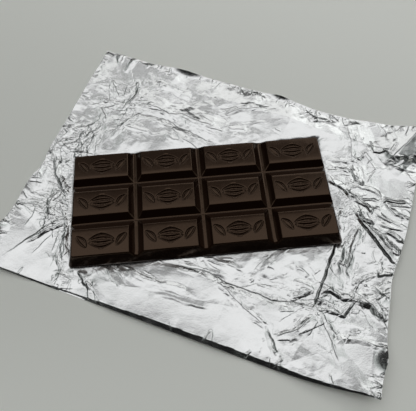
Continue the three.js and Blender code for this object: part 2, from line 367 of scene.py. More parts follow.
def grid_places(half, count, pitch, groove, reach, cell):
    """The grid's lines along one axis: close together on rims, groove walls and ornaments."""
    top, floor = groove
    fixed = {-half + step for step in RIM_STEPS} | {half - step for step in RIM_STEPS}
    for middle in spaced(count - 1, pitch):
        offsets = [floor + (top - floor) * share for share in WALL_SHARES]
        fixed |= {middle + offset for offset in offsets} | {middle - offset for offset in offsets}
    for middle in spaced(count, pitch):
        fixed |= set(stretch(middle - reach, middle + reach, cell)) | {middle + reach}
    fixed = sorted(fixed)
    places = []
    for low, high in zip(fixed, fixed[1:]):
        places += stretch(low, high, PLAIN_CELL)
    return places + [fixed[-1]]


def rounded_max(x, ease):
    """The greater of x and 0, with the corner between them rounded."""
    return 0.5 * (x + math.hypot(x, ease))


def groove_share(x, count, pitch, groove):
    """How deep a groove is at x, from 0 on the pieces to 1 on its floor, with eased edges."""
    top, floor = groove
    away = min(abs(x - middle) for middle in spaced(count - 1, pitch))
    share = rounded_max(1 - (away - floor) / (top - floor), EDGE_EASE)
    lowest = rounded_max(-floor / (top - floor), FLOOR_EASE)
    return 1 - rounded_max(1 - share, FLOOR_EASE) + lowest


def lobe_depth(x, y, lobe):
    """How far a lobe and the line round it sink the surface at a place on its piece."""
    (x0, y0), (x1, y1), bow, half_width = lobe
    length = math.hypot(x1 - x0, y1 - y0)
    ux, uy = (x1 - x0) / length, (y1 - y0) / length
    along = ((x - x0) * ux + (y - y0) * uy) / length
    if not 0 < along < 1:
        return 0.0
    across = (y - y0) * ux - (x - x0) * uy - bow * math.sin(math.pi * along)
    half = half_width * math.sin(math.pi * along) ** LOBE_FULLNESS
    inside = half - abs(across)
    wall = smooth(inside, LINE_START, LINE_INSET)
    pillow = clamp((inside - LINE_INSET) / max(half - LINE_INSET, 0.01))
    depth = LINE_DEPTH - (LINE_DEPTH - CREST_DROP) * (1 - (1 - pillow) ** 2)
    return wall * depth * smooth(half, *LOBE_TIP)


def ornament_depth(x, y):
    """How far the ornaments sink the bar's top at a place."""
    on_x = min((x - middle for middle in spaced(COLUMNS, PITCH_X)), key=abs)
    on_y = min((y - middle for middle in spaced(ROWS, PITCH_Y)), key=abs)
    if abs(on_x) > ORNAMENT_REACH[0] or abs(on_y) > ORNAMENT_REACH[1]:
        return 0.0
    return max(lobe_depth(on_x, on_y, lobe) for lobe in LOBES)


def pillow_depth(x, y):
    """How far the slightly domed top of a piece lies under its middle."""
    depth = 0.0
    for place, (count, pitch, groove) in ((x, ALONG_X), (y, ALONG_Y)):
        away = min(abs(place - middle) for middle in spaced(count, pitch))
        depth += PILLOW * min(1.0, away / (pitch / 2 - groove[0])) ** 2
    return depth


def rounded_corner(x, y, half_x, half_y):
    """A place in a square corner moved into one of CORNER_RADIUS."""
    inner_x, inner_y = half_x - CORNER_RADIUS, half_y - CORNER_RADIUS
    u, v = (abs(x) - inner_x) / CORNER_RADIUS, (abs(y) - inner_y) / CORNER_RADIUS
    if u <= 0 or v <= 0:
        return x, y
    out_u, out_v = u * math.sqrt(1 - v * v / 2), v * math.sqrt(1 - u * u / 2)
    return (
        math.copysign(inner_x + out_u * CORNER_RADIUS, x),
        math.copysign(inner_y + out_v * CORNER_RADIUS, y),
    )


def inside_outline(x, y, half_x, half_y):
    """How far inside the rounded outline a place lies."""
    inner = Vector((
        clamp(x, CORNER_RADIUS - half_x, half_x - CORNER_RADIUS),
        clamp(y, CORNER_RADIUS - half_y, half_y - CORNER_RADIUS),
    ))
    out = Vector((x, y)) - inner
    if out.length > 1e-6:
        return CORNER_RADIUS - out.length
    return min(half_x - abs(x), half_y - abs(y))


def outwards(x, y, half_x, half_y):
    """The way a wall leans out at a place: straight out from a side, and cornerwise at a corner."""
    inner_x, inner_y = half_x - CORNER_RADIUS, half_y - CORNER_RADIUS
    return Vector((clamp(x / inner_x, -1.0), clamp(y / inner_y, -1.0)))


def taper_at(z):
    """How far the outer wall has leaned in at height z."""
    return WALL_TAPER * clamp((z - FOOT_ROUND) / (BAR_HEIGHT - RIM_ROUND - FOOT_ROUND))


def bar_top_point(x, y, half_x, half_y):
    """A point of the moulded top: grooves, ornaments, rounded rim and a little unevenness."""
    x, y = rounded_corner(x, y, half_x, half_y)
    inside = inside_outline(x, y, half_x, half_y)
    groove = max(groove_share(x, *ALONG_X), groove_share(y, *ALONG_Y))
    z = BAR_HEIGHT - GROOVE_DEPTH * groove - ornament_depth(x, y) - pillow_depth(x, y)
    edge = clamp(RIM_ROUND - inside, 0, RIM_ROUND)
    z -= RIM_ROUND - math.sqrt(RIM_ROUND ** 2 - edge ** 2)
    uneven = 0.0
    for cell, rise, layer in UNEVENNESS:
        uneven += noise.noise(Vector((x / cell, y / cell, layer))) * rise
    lean = (WALL_TAPER - taper_at(z)) * smooth(inside, LEAN_REACH, 0.0)
    spot = Vector((x, y)) + outwards(x, y, half_x, half_y) * lean
    return Vector((spot.x, spot.y, z + uneven * smooth(inside, 0.0, UNEVEN_FROM)))


def add_walls(bm, half_x, half_y):
    """Extrudes the rim of the top down the tapered walls, round the foot, and closes the base."""
    rim = [edge for edge in bm.edges if edge.is_boundary]
    levels = [(share, None) for share in WALL_LEVELS] + [(None, foot) for foot in FOOT_LEVELS]
    for share, foot in levels:
        grown = bmesh.ops.extrude_edge_only(bm, edges=rim)["geom"]
        rim = [item for item in grown if isinstance(item, bmesh.types.BMEdge) and item.is_boundary]
        for vert in {vert for edge in rim for vert in edge.verts}:
            out = outwards(vert.co.x, vert.co.y, half_x, half_y)
            if foot is None:
                start = vert.co.z
                vert.co.z = FOOT_ROUND + (start - FOOT_ROUND) * share
                vert.co.xy += out * (taper_at(start) - taper_at(vert.co.z))
            else:
                turn = foot * math.pi / 2
                before = max(0.0, foot - FOOT_STEP) * math.pi / 2
                vert.co.z = FOOT_ROUND * (1 - math.sin(turn))
                vert.co.xy -= out * FOOT_ROUND * (math.cos(before) - math.cos(turn))
    bmesh.ops.holes_fill(bm, edges=rim, sides=0)


def build_bar(material):
    """The whole bar as one closed mesh: a grid shaped as the top, with walls and a base."""
    half_x, half_y = BAR_LENGTH / 2 - WALL_TAPER, BAR_WIDTH / 2 - WALL_TAPER
    xs = grid_places(half_x, *ALONG_X, ORNAMENT_REACH[0], ORNAMENT_CELL[0])
    ys = grid_places(half_y, *ALONG_Y, ORNAMENT_REACH[1], ORNAMENT_CELL[1])
    bm = bmesh.new()
    bmesh.ops.create_grid(bm, x_segments=len(xs) - 1, y_segments=len(ys) - 1, size=1)
    for vert in bm.verts:
        i = round((vert.co.x + 1) / 2 * (len(xs) - 1))
        j = round((vert.co.y + 1) / 2 * (len(ys) - 1))
        vert.co = bar_top_point(xs[i], ys[j], half_x, half_y)
    add_walls(bm, half_x, half_y)
    bmesh.ops.recalc_face_normals(bm, faces=bm.faces)
    bmesh.ops.translate(bm, vec=(0, 0, BAR_LOW.z), verts=bm.verts)
    for face in bm.faces:
        face.smooth = len(face.verts) == 4
    return finish_piece(bm, "moulded_bar", material)


# -------------------------------------------------------------------------------------- the wrapper

SAG = 0.9  # how high the sheet lies away from the bar
RIM_RUN = 26.0
FRONT_RISE = (-60, 0)  # where along the front edge its rim starts to rise, and where it is up
RIGHT_RISE = (60, 30)  # and along the right edge
RIMS = {"front": 2.8, "back": 1.2, "right": 2.2, "left": 1.8}
RAISED_CORNERS = [((110, -83), 5.0, 44.0), ((110, 83), 3.5, 42.0), ((-110, -83), 2.6, 34.0)]
GATHERS = [  # edge, where, how far either way, how far in
    ("right", -22, 24, 3.6),
    ("left", -18, 16, 2.6),
    ("back", 46, 24, 3.0),
    ("back", -80, 34, 1.8),
    ("front", 112, 24, 3.0),
]
GATHER_RUN = 30.0
# How far outside the bar's outline its weight begins and ends to hold down the broad and the fine shape
BROAD_FREE, FINE_FREE = (-6.0, 12.0), (-1.5, 3.0)
LEAN_AGAINST = (0.5, 1.3)  # the sheet's greatest height at the bar's foot, and how steeply it rises there
CURLS = [  # edge, where, how far either way, rise, how far in
    ("left", -28, 9, 2.5, 9),
    ("left", -61, 4, 3.0, 6),
    ("right", -62, 7, 4.0, 6),
    ("right", -30, 9, 2.5, 10),
    ("back", 16, 8, 2.2, 3.5),
    ("back", -51, 12, 2.4, 3.5),
]

# Folds that were pressed in when the bar was wrapped and unwrapped. Each is a path, the rise of the
# sheet along it, how far the sheet falls away to its left and to its right, and how sharply it is creased.
GROOVE_DEPTH_FOIL, GROOVE_REACH = 0.15, 0.5
END_SHARE, END_GAIN = 0.1, 5.0  # a fold's rise at its ends, and how fast it gains the rest, as shares
FAINT = (0.35, 2, 0.9, 0.6)
FOLDS = [
    # along the front, from under the bar to the front right star
    ([(-16, -48), (0, -47), (12, -46), (23, -48), (38, -49), (50, -49), (63, -46), (71, -45)],
     -0.8, 9, 3, 0.9),
    ([(7.5, -39), (13.5, -39.5), (20, -39.5)], 0.4, 2, 1.2, 0.7),
    ([(-7.5, -46), (3.5, -45), (15, -45), (24, -46)], 0.4, 1.5, 1.2, 0.6),
    ([(20, -50), (31, -56), (42, -61), (49, -64)], 0.5, 4, 3, 0.8),
    ([(49, -64), (55, -72), (59, -77)], 0.7, 1.6, 1.6, 0.0),
    ([(-43, -62.5), (-38, -66), (-32, -69), (-29, -71)], 0.4, 3, 1.0, 0.4),
    ([(-35.5, -60.5), (-29, -62.5), (-21.5, -64), (-13.5, -63.5), (-6.5, -62), (1.5, -61.5), (11.5, -62)],
     0.35, 4, 3, 0.1),
    ([(-31.5, -59.5), (-24.5, -61), (-17.5, -62), (-8.5, -60.5), (-1, -59.5), (7, -60.5)], 0.4, 2, 2, 0.2),
    ([(-11, -67.5), (-2.5, -66), (6.5, -66.5), (14, -65.5), (19.5, -64.5)], 0.5, 3, 1.5, 0.3),
    ([(45, -27), (40, -35), (33, -46)], 0.4, 4, 4, 0.1),
    ([(38, -37), (57, -37)], 0.4, 4, 2, 0.3),
    ([(53, -25), (64, -31)], 0.3, 3, 2, 0.3),
    ([(57, -35), (70, -36)], 0.5, 3, 1.5, 0.6),
    ([(69, -36), (64, -41), (58, -46)], 0.8, 1.6, 4, 0.6),
    ([(59, -48), (67, -46), (72, -46)], 0.5, 2, 2, 0.6),
    # the star at the front right corner of where the bar stood
    ([(74.5, -5), (74, -13), (73, -21), (73, -27), (72, -36), (71, -41), (72, -45)], 1.9, 11, 1.2, 1.0),
    ([(72, -37), (77, -35), (85, -36), (91, -35)], 0.9, 3, 1.5, 0.7),
    ([(74, -46), (82, -45), (87, -45), (89, -40), (91, -35)], 0.9, 2, 1.5, 0.7),
    ([(91, -35), (101, -35), (104, -38), (109, -42)], 1.4, 5, 2.5, 1.0),
    ([(71, -50), (69, -54), (66, -60), (60, -64), (55, -68)], 0.9, 6, 1.6, 1.0),
    ([(74, -48), (79, -55), (84, -61), (87, -67), (89, -70)], 0.7, 5, 1.6, 0.9),
    ([(86, -62), (88, -57), (95, -55), (100, -55), (108, -56)], 0.8, 2.5, 2.5, 0.0),
    # the crinkled band and the tongue along the right end of where the bar stood
    ([(84.5, 10.5), (84, 6), (83.5, 2), (83, -3), (83, -6.5), (83.5, -16.5), (84, -20), (86, -22.5),
      (86.5, -27)], 0.68, 3, 0.84, 0.9),
    ([(76.5, 17), (73, 14.5), (72.5, 7.5), (74.5, 4.5), (75, 1), (74, -3.5), (74, -8)], 0.8, 2, 3, 0.6),
    ([(78.5, -6.5), (78, -13.5), (77, -19), (79.5, -24)], 0.6, 2, 3, 0.3),
    ([(95, -3), (95.5, -7), (98, -10.5), (94, -14)], 0.38, 3, 0.9, 0.6),
    ([(101.5, -7.5), (101.5, -11), (103.5, -13.5), (103.5, -17)], 0.45, 0.9, 2, 0.7),
    ([(87.5, -27.5), (92.5, -24), (97.5, -20.5), (102, -18)], 0.38, 3, 0.84, 0.7),
    ([(101.5, -18.5), (105, -16.5), (110, -15)], 1.2, 4, 0.84, 1.0),
    ([(100, -24), (107, -28), (103, -33)], 0.45, 2, 0.9, 0.8),
    # the fan at the right end
    ([(59, 34), (65, 31), (70, 29), (72.5, 27), (76, 24)], 1.01, 4, 0.84, 1.0),
    ([(72.5, 27), (74.5, 31.5), (78, 33.5), (85, 34), (88.5, 33), (92, 31), (94.5, 29)],
     0.61, 3, 0.84, 0.8),
    ([(94.5, 29), (97.5, 24.5), (102, 21.5), (109, 19.5)], 0.7, 3, 0.84, 0.9),
    ([(74.5, 25), (78.5, 26), (83.5, 26), (87, 27.5), (93.5, 27)], 0.61, 2.5, 0.84, 0.8),
    ([(93.5, 27), (95.5, 29.5), (102, 30), (110, 32)], 0.92, 3, 0.84, 1.0),
    ([(96.5, 26.5), (102, 28), (110, 29.5)], 0.51, 2, 0.72, 0.8),
    ([(77.5, 23), (81.5, 22.5), (85, 21.5), (88, 19.5), (89.5, 17)], 1.01, 3, 0.84, 1.0),
    ([(87.5, 20.5), (92, 23.5), (90.5, 23.5)], 0.51, 0.9, 0.9, 0.8),
    ([(90.5, 19), (95.5, 17), (101.5, 15.5), (108.5, 14.5)], 0.7, 3, 0.84, 0.8),
    ([(79.5, 17), (82, 14), (85, 11.5), (88, 11), (92, 11.5)], 1.01, 3, 0.84, 1.0),
    ([(92.5, 11.5), (99, 12), (103.5, 12.5), (108.5, 13.5)], 0.7, 3, 0.84, 0.9),
    ([(82, 13.5), (85.5, 9.5), (90, 6), (94, 3), (97, -0.5), (103.5, -5), (110, -9)], 1.82, 7, 0.96, 1.0),
    ([(88.5, 8.5), (93.5, 5.5), (100, 0.5)], 0.7, 2, 0.84, 0.8),
    ([(97, 9.5), (102, 8), (106.5, 5.5), (109, 5.5)], 0.92, 3, 0.84, 1.0),
    ([(99, 4), (104, 1), (108.5, -1), (110.5, -2)], 0.92, 2.5, 0.84, 1.0),
    ([(96.5, 1.5), (102, -1), (106, -2.5), (109, -3)], 0.61, 2, 0.84, 0.7),
    # up the right end to the back edge, with its branches
    ([(62, 79), (64, 71), (66.5, 66), (68.5, 60.5), (70.5, 54), (71.5, 47.5)], 0.6, 4, 2, 0.7),
    ([(71.5, 47.5), (73.5, 42.5), (76, 37.5), (79, 36), (81.5, 36)], 0.98, 5, 0.96, 1.0),
    ([(69, 73), (68.5, 67.5), (68, 63.5)], 0.5, 2, 2, 0.6),
    ([(55.5, 46), (64, 48), (68, 48.5), (71.5, 47.5)], 0.45, 3, 0.96, 0.7),
    ([(58, 38.5), (67.5, 41.5), (72, 43.5)], 0.5, 3, 2, 0.5),
    ([(77, 57), (80.5, 54), (84, 51), (86.5, 49.5)], 0.6, 2, 2, 0.6),
    ([(79, 60), (76, 55), (74, 51.5)], 0.45, 2, 0.9, 0.7),
    ([(86.5, 49.5), (85, 46.5), (84, 41), (83.5, 38.5)], 0.38, 2, 0.84, 0.7),
    ([(74.5, 62), (80.5, 63.5), (82.5, 60), (86.5, 61), (89.5, 62.5), (92, 60)], 0.6, 2, 0.72, 1.0),
    ([(78.5, 68), (80.5, 64.5)], 0.38, 1.5, 0.72, 0.8),
    ([(81.5, 82), (85.5, 78.5), (87.5, 74), (89, 69)], 0.38, 2.5, 0.9, 0.6),
    ([(88, 85), (90, 79), (93.5, 72.5), (93, 66)], 0.4, 2, 2, 0.4),
    ([(41, 71), (48, 75), (58, 74)], 0.52, 4, 0.9, 0.8),
    ([(42, 71), (39, 76), (32, 80)], 0.6, 3, 3, 0.2),
    ([(42, 71), (44, 82)], 0.4, 2, 2, 0.2),
    # the pleat at the back right corner
    ([(89.5, 54.5), (93.5, 59.5), (97.5, 67), (102, 75), (105, 81), (108, 88)], 4.9, 15, 11, 1.0),
    ([(89.5, 54.5), (94.5, 54), (100, 53.5), (105, 53.5), (110, 54.5)], 0.5, 3, 1.2, 0.8),
    ([(94.5, 60), (97.5, 59.5), (99.5, 60.5), (102.5, 60), (105, 62), (109.5, 60.5)], 1.5, 2, 1.2, 1.0),
    ([(86.5, 49.5), (92.5, 51), (97.5, 51), (104.5, 50), (110.5, 50.5)], 0.5, 2.5, 4, 0.2),
    # the front left star and its long crease
    ([(-74, -43), (-80.5, -46), (-84, -50), (-87, -54.5), (-92.5, -64), (-98, -74)], 0.5, 4, 0.9, 0.7),
    ([(-73.5, -44), (-80, -50), (-84.5, -55.5), (-88, -60.5), (-92.5, -66)], 0.45, 1.2, 1.8, 0.7),
    ([(-76.5, -47.5), (-72, -57), (-71.5, -61), (-68.5, -65.5), (-68, -68)], 0.6, 3, 1.2, 0.8),
    ([(-72, -64), (-70, -68.5), (-66.5, -72), (-65, -75.5)], 0.5, 2, 1.2, 0.7),
    ([(-75, -47.5), (-72.5, -52.5), (-69.5, -60.5), (-65, -67.5)], 0.4, 2, 1.2, 0.5),
    ([(-67, -76.5), (-64, -75), (-59.5, -75.5), (-56.5, -76.5)], 0.5, 1.5, 1.2, 0.6),
    ([(-56.5, -70), (-53.5, -72), (-50.5, -74.5), (-48, -76)], 0.7, 2, 1.2, 0.3),
    ([(-54.5, -69), (-51, -72), (-47, -76), (-45, -77.5)], 0.6, 2, 1.2, 0.3),
    ([(-84, -45), (-89, -43), (-92, -36), (-91, -31), (-88, -27)], 0.7, 2, 2, 0.8),
    ([(-106, -6), (-102, -14), (-98, -20), (-95, -22), (-88, -27), (-81, -30)], 0.8, 4, 1.2, 1.0),
    ([(-110, -44), (-99, -42), (-90, -42)], 0.52, 3, 0.9, 0.8),
    ([(-106, 3), (-100, 1), (-91, 1), (-86, 2), (-86, 11)], 0.45, 2, 0.9, 0.7),
    # the crinkled band along the left end of where the bar stood
    ([(-110.5, 0.5), (-106.5, -6.5), (-101.5, -13), (-96, -19)], *FAINT),
    ([(-101.5, -39), (-95, -38.5), (-90, -39.5), (-84, -42), (-78, -42)], *FAINT),
    ([(-90, -39.5), (-88, -44.5), (-86.5, -48.5)], *FAINT),
    ([(-88.5, -34.5), (-82, -39.5), (-75.5, -48.5), (-71.5, -57.5)], *FAINT),
    ([(-98, -33), (-91.5, -33.5), (-86, -33.5), (-80.5, -32.5)], *FAINT),
    ([(-96, -19), (-91, -23.5), (-85, -25.5)], *FAINT),
    ([(-94, -28.5), (-89, -29), (-83, -30.5)], *FAINT),
    ([(-111, -16), (-108.5, -23), (-105, -30.5)], *FAINT),
    ([(-101.5, -13), (-98.5, -8), (-96, -5)], *FAINT),
    # the back left star and the two long folds behind the bar
    ([(-96, 60), (-85, 47)], 0.52, 0.96, 4, 0.9),
    ([(-80, 66), (-74, 54), (-77, 41)], 0.5, 2, 2, 0.7),
    ([(-94, 36), (-88, 31), (-86, 28)], 0.52, 0.9, 3, 0.9),
    ([(-92, 36), (-85, 41)], 0.6, 0.9, 3, 0.9),
    ([(-97, 44), (-90, 43), (-83, 41)], 0.5, 2, 3, 0.6),
    ([(-78, 47), (-66, 48), (-57, 48), (-48, 46), (-40, 49), (-31, 47), (-20, 46), (-13, 45)],
     1.1, 9, 5, 0.8),
    ([(-75, 39), (-61, 41), (-48, 42), (-39, 39), (-30, 38), (-19, 35), (-9, 36)], -0.7, 5, 3, 0.7),
    ([(-73, 32), (-76, 22), (-77, 16)], 0.5, 2, 2, 0.5),
    ([(-75, 28), (-60, 28), (-55, 29)], 0.4, 2.5, 2, 0.5),
    ([(-46, 32), (-39, 29), (-33, 29)], 0.3, 2, 2, 0.4),
    ([(-18, 57), (-13, 58), (-4, 65), (2, 68), (11, 70)], 0.6, 4, 2, 0.7),
    ([(19, 58), (21, 56), (25, 56)], 0.4, 2, 2, 0.8),
    ([(-8, 48), (3, 51)], 0.4, 3, 2, 0.6),
    ([(-108, 5), (-104, 14), (-95, 20)], 0.8, 4, 2.5, 0.4),
    ([(-87, 2), (-88, 18)], 0.38, 0.6, 3.5, 0.7),
    ([(-104, -2), (-96, 6), (-90, 14), (-86, 24)], 0.4, 2, 0.9, 0.5),
    ([(-98, 12), (-92, 6), (-87, -4), (-86, -14)], 0.4, 1.5, 0.9, 0.5),
    ([(-100, -10), (-92, -8), (-84, -12)], 0.4, 2, 0.9, 0.5),
    ([(-96, 22), (-88, 16), (-84, 6)], 0.4, 1.5, 0.9, 0.5),
    ([(-99, 81), (-95, 67)], 0.3, 2, 2, 0.2),
    ([(-88, 82), (-90, 69)], 0.6, 3.5, 2.5, 0.0),
    ([(-70, 64), (-54, 66), (-39, 63)], 0.5, 5, 3, 0.1),
]
# Broad swells under the folds: a path, the rise along it, and how far it falls away to left and right
SWELLS = [
    ([(-50, -69), (-29, -70), (-13, -65), (3, -63.5), (20, -62), (50, -57), (72, -52)], 1.0, 18, 26),
    ([(-112, 80), (-75, 80), (-45, 72)], 2.3, 10, 42),
    ([(-40, 68), (-10, 68), (30, 68), (60, 66)], 2.4, 14, 34),
    ([(92, 30), (96, 10), (96, -10)], 1.5, 16, 18),
    ([(66, 83), (70, 74), (76, 64), (84, 54)], 1.2, 8, 14),
]
# Places where the sheet stayed smooth, and how far round them
SMOOTH_SPOTS = [
    ((103, 68), 10), ((97, 44), 8), ((-100, -62), 14), ((-88, -70), 11), ((-77, -76), 7), ((-38, -77), 9),
    ((-22, -74), 11), ((-4, -71), 12), ((16, -71), 12), ((34, -71), 11), ((-24, -66), 7), ((-4, -57), 8),
    ((12, -57), 8), ((99, -64), 12), ((-106, -32), 6), ((-45, 74), 8), ((-90, 70), 12), ((10, 62), 6),
    ((102, 15), 12), ((98, 0), 8), ((87, 29), 7), ((101, 34), 9), ((84, 74), 10), ((94, 78), 8),
]
SMOOTHED = 0.8  # how much of the crumpling is gone there
SMOOTH_END, SMOOTH_EASE = 1.6, 0.6  # it is all back at that many times as far, and comes over that share
# Places that are crinkled all over, and how far round them. Elsewhere only some of the wrinkles are there.
CRINKLED_SPOTS = [
    ((-92, 6), 26), ((-92, -28), 13), ((-84, 42), 22), ((-84, -46), 12), ((92, -40), 18), ((80, 18), 9),
]
ELSEWHERE = 0.35  # the share of them
# Crease lines wander off their paths: cell, how far
WANDER = [(7.0, 0.5), (2.6, 0.3)]
# Small wrinkles are short paths: how many legs, and how far they may bend at each, in radians
LEGS, BEND = 3, 0.22
WRINKLE_SEED = 11

# Small wrinkles that run along with a fold: how many for each millimetre of it, how far off it they lie,
# how far they turn from it, in degrees, and the ranges of their length, rise and gentle reach.
# The other side of each is steep.
STEEP_REACH = (0.35, 0.6)
SMALL_SHARP = 1.2  # how sharply they are creased for each millimetre of their rise
ALONG_FOLDS = [
    (0.30, 3.5, 14, (6, 20), (0.10, 0.35), (1.5, 4.0)),
    (1.20, 3.2, 30, (1.5, 6), (0.05, 0.22), (0.5, 1.6)),
    (0.35, 5.0, 90, (2, 8), (0.05, 0.20), (0.8, 2.5)),
]
# The hem turned down along the front edge: how steep it is, and how far in it reaches from end to end
HEM_SLOPE = 0.75
HEM_REACH = ((-110, -80, -40, -10, 60, 85, 110), (0.5, 0.8, 1.6, 2.3, 2.5, 1.6, 0.8))
HEM_CELL, HEM_WAVER = 4.0, 0.12  # its inner edge wavers by that share of its reach
# Short wrinkles in from the front, right, back and left edges
NICKS = (15, 70, 55, 60)
NICK_LENGTHS, NICK_RISES, NICK_REACHES = (2, 8), (0.15, 0.45), (0.5, 2.5)
NICK_STRAY, NICK_SHARP = 35, 0.5
# Facets all over: cell, turn of the lattice, rise, seed. The fine ones' places are warped.
CRUMPLES = [(25.0, 0.4, 0.9, 3), (12.0, 1.1, 0.38, 7)]
FINE_CRUMPLES = [(6.5, 0.2, 0.17, 13), (3.4, 0.8, 0.06, 17)]
WARP_CELL, WARP = 14.0, 3.0


def chance(i, j, seed):
    """Repeatable numbers from -1 to 1 for lattice points."""
    wave = np.sin(i * 127.1 + j * 311.7 + seed * 74.7) * 43758.5453
    return 2 * (wave - np.floor(wave)) - 1


def crumple(s, t, cell, turn, rise, seed):
    """Flat facets between the points of a triangular lattice, each point at a chance height."""
    x = (s * math.cos(turn) - t * math.sin(turn)) / cell
    y = (s * math.sin(turn) + t * math.cos(turn)) / cell
    skew = (x + y) * (math.sqrt(3) - 1) / 2
    x, y = x + skew, y + skew
    i, j = np.floor(x), np.floor(y)
    most, least = np.maximum(x - i, y - j), np.minimum(x - i, y - j)
    side = np.where(x - i > y - j, chance(i + 1, j, seed), chance(i, j + 1, seed))
    return rise * (
        chance(i, j, seed) * (1 - most) + side * (most - least) + chance(i + 1, j + 1, seed) * least
    )


def rolling(s, t, cell, seed):
    """Even hills and hollows from -1 to 1, a cell apart."""
    x, y = s / cell, t / cell
    i, j = np.floor(x), np.floor(y)
    u, v = x - i, y - j
    u, v = u * u * (3 - 2 * u), v * v * (3 - 2 * v)
    near = chance(i, j, seed) * (1 - u) + chance(i + 1, j, seed) * u
    far = chance(i, j + 1, seed) * (1 - u) + chance(i + 1, j + 1, seed) * u
    return near * (1 - v) + far * v


def fading(distance, reach):
    """1 at no distance, straight down to 0 at reach."""
    return np.clip(1 - distance / reach, 0, 1)


def inside_edges(s, t):
    """How far inside each edge of the sheet a place lies."""
    return {
        "left": s + FOIL_LENGTH / 2,
        "right": FOIL_LENGTH / 2 - s,
        "front": t + FOIL_WIDTH / 2,
        "back": FOIL_WIDTH / 2 - t,
    }


def smoothness(s, t):
    """1 in the middle of the smooth places and 0 away from them."""
    near = [fading(np.hypot(s - at[0], t - at[1]), SMOOTH_END * reach) for at, reach in SMOOTH_SPOTS]
    return eased(np.max(near, axis=0), 0.0, SMOOTH_EASE)


def rim_height(s, t):
    """How far the edges, corners and curls of the sheet stand up."""
    inside = inside_edges(s, t)
    share = {"front": eased(s, *FRONT_RISE), "right": eased(t, *RIGHT_RISE)}
    rims = np.max([
        rise * share.get(edge, 1) * fading(inside[edge], RIM_RUN) ** 2 for edge, rise in RIMS.items()
    ], axis=0)
    corners = np.max([
        rise * fading(np.hypot(s - at[0], t - at[1]), reach) for at, rise, reach in RAISED_CORNERS
    ], axis=0)
    curls = 0.0
    for edge, at, span, rise, run in CURLS:
        along = t if edge in ("left", "right") else s
        curls += rise * np.exp(-((along - at) / span) ** 2) * fading(inside[edge], run) ** 1.5
    return rims + corners + curls


def gathered(s, t):
    """The places of the sheet after its edges are drawn in."""
    inside = inside_edges(s, t)
    ways = {"left": (1, 0), "right": (-1, 0), "front": (0, 1), "back": (0, -1)}
    for edge, at, span, depth in GATHERS:
        along = t if edge in ("left", "right") else s
        pull = depth * np.exp(-((along - at) / span) ** 2) * fading(inside[edge], GATHER_RUN)
        s, t = s + ways[edge][0] * pull, t + ways[edge][1] * pull
    return s, t


def clear_of_bar(x, y):
    """How far places lie outside the bar's outline."""
    over_x, over_y = np.abs(x) - BAR_LENGTH / 2, np.abs(y) - BAR_WIDTH / 2
    outside = np.hypot(np.maximum(over_x, 0), np.maximum(over_y, 0))
    return outside + np.minimum(np.maximum(over_x, over_y), 0)


def grid_window(path, reach):
    """The rows and columns of the sheet's grid in the box round a path."""
    spans = []
    for axis, half, cells in ((1, FOIL_WIDTH / 2, CELLS_T), (0, FOIL_LENGTH / 2, CELLS_S)):
        places = [point[axis] for point in path]
        low = (min(places) - reach + half) / (2 * half) * cells
        high = (max(places) + reach + half) / (2 * half) * cells
        spans.append(slice(max(0, math.ceil(low)), max(0, math.floor(high) + 1)))
    return tuple(spans)


class Sheet:
    """The wrapper as a grid: the place (s, t) of each point, its height and how sharply it is creased."""

    def __init__(self):
        along = np.linspace(-FOIL_LENGTH / 2, FOIL_LENGTH / 2, CELLS_S + 1)
        across = np.linspace(-FOIL_WIDTH / 2, FOIL_WIDTH / 2, CELLS_T + 1)
        self.s, self.t = np.meshgrid(along, across)
        self.z = np.zeros_like(self.s)
        self.crease = np.zeros_like(self.s)
        self.wandered = self.s, self.t
        for cell, far in WANDER:
            s, t = self.wandered
            self.wandered = s + rolling(s, t, cell, 1) * far, t + rolling(s, t, cell, 2) * far

    def fold(self, path, rise, left_reach, right_reach, sharp):
        """Raises a tent over a path, with a thin crease along its crest."""
        window = grid_window(path, max(left_reach, right_reach) + 1)
        s, t = (values[window] for values in self.wandered)
        if not s.size:
            return
        away, left, share = from_path(s, t, path)
        ends = np.minimum(1.0, END_SHARE + END_GAIN * np.minimum(share, 1 - share))
        tent = fading(away, np.where(left, left_reach, right_reach))
        groove = fading(away, GROOVE_REACH) * sharp * ends
        self.z[window] += rise * tent * ends - GROOVE_DEPTH_FOIL * groove
        self.crease[window] = np.maximum(self.crease[window], groove)


def from_path(s, t, path):
    """How far places lie from a path, whether to its left, and how far along it, as a share."""
    away = np.full_like(s, 1e9)
    left = np.zeros(s.shape, bool)
    share = np.zeros_like(s)
    spans = len(path) - 1
    for k in range(spans):
        (s0, t0), (s1, t1) = path[k], path[k + 1]
        ds, dt = s1 - s0, t1 - t0
        along = np.clip(((s - s0) * ds + (t - t0) * dt) / (ds * ds + dt * dt), 0, 1)
        distance = np.hypot(s - s0 - along * ds, t - t0 - along * dt)
        nearer = distance < away
        away[nearer] = distance[nearer]
        left[nearer] = (ds * (t - t0) > dt * (s - s0))[nearer]
        share[nearer] = ((k + along) / spans)[nearer]
    return away, left, share


def wandering(rng, s, t, length, turn):
    """A short path from a place that wanders a little."""
    points = [(s, t)]
    for _ in range(LEGS):
        turn += rng.uniform(-BEND, BEND)
        s, t = s + length / LEGS * math.cos(turn), t + length / LEGS * math.sin(turn)
        points.append((s, t))
    return points


def among(place, spots):
    """Whether a place lies within one of the spots."""
    return any(math.dist(place, at) < reach for at, reach in spots)


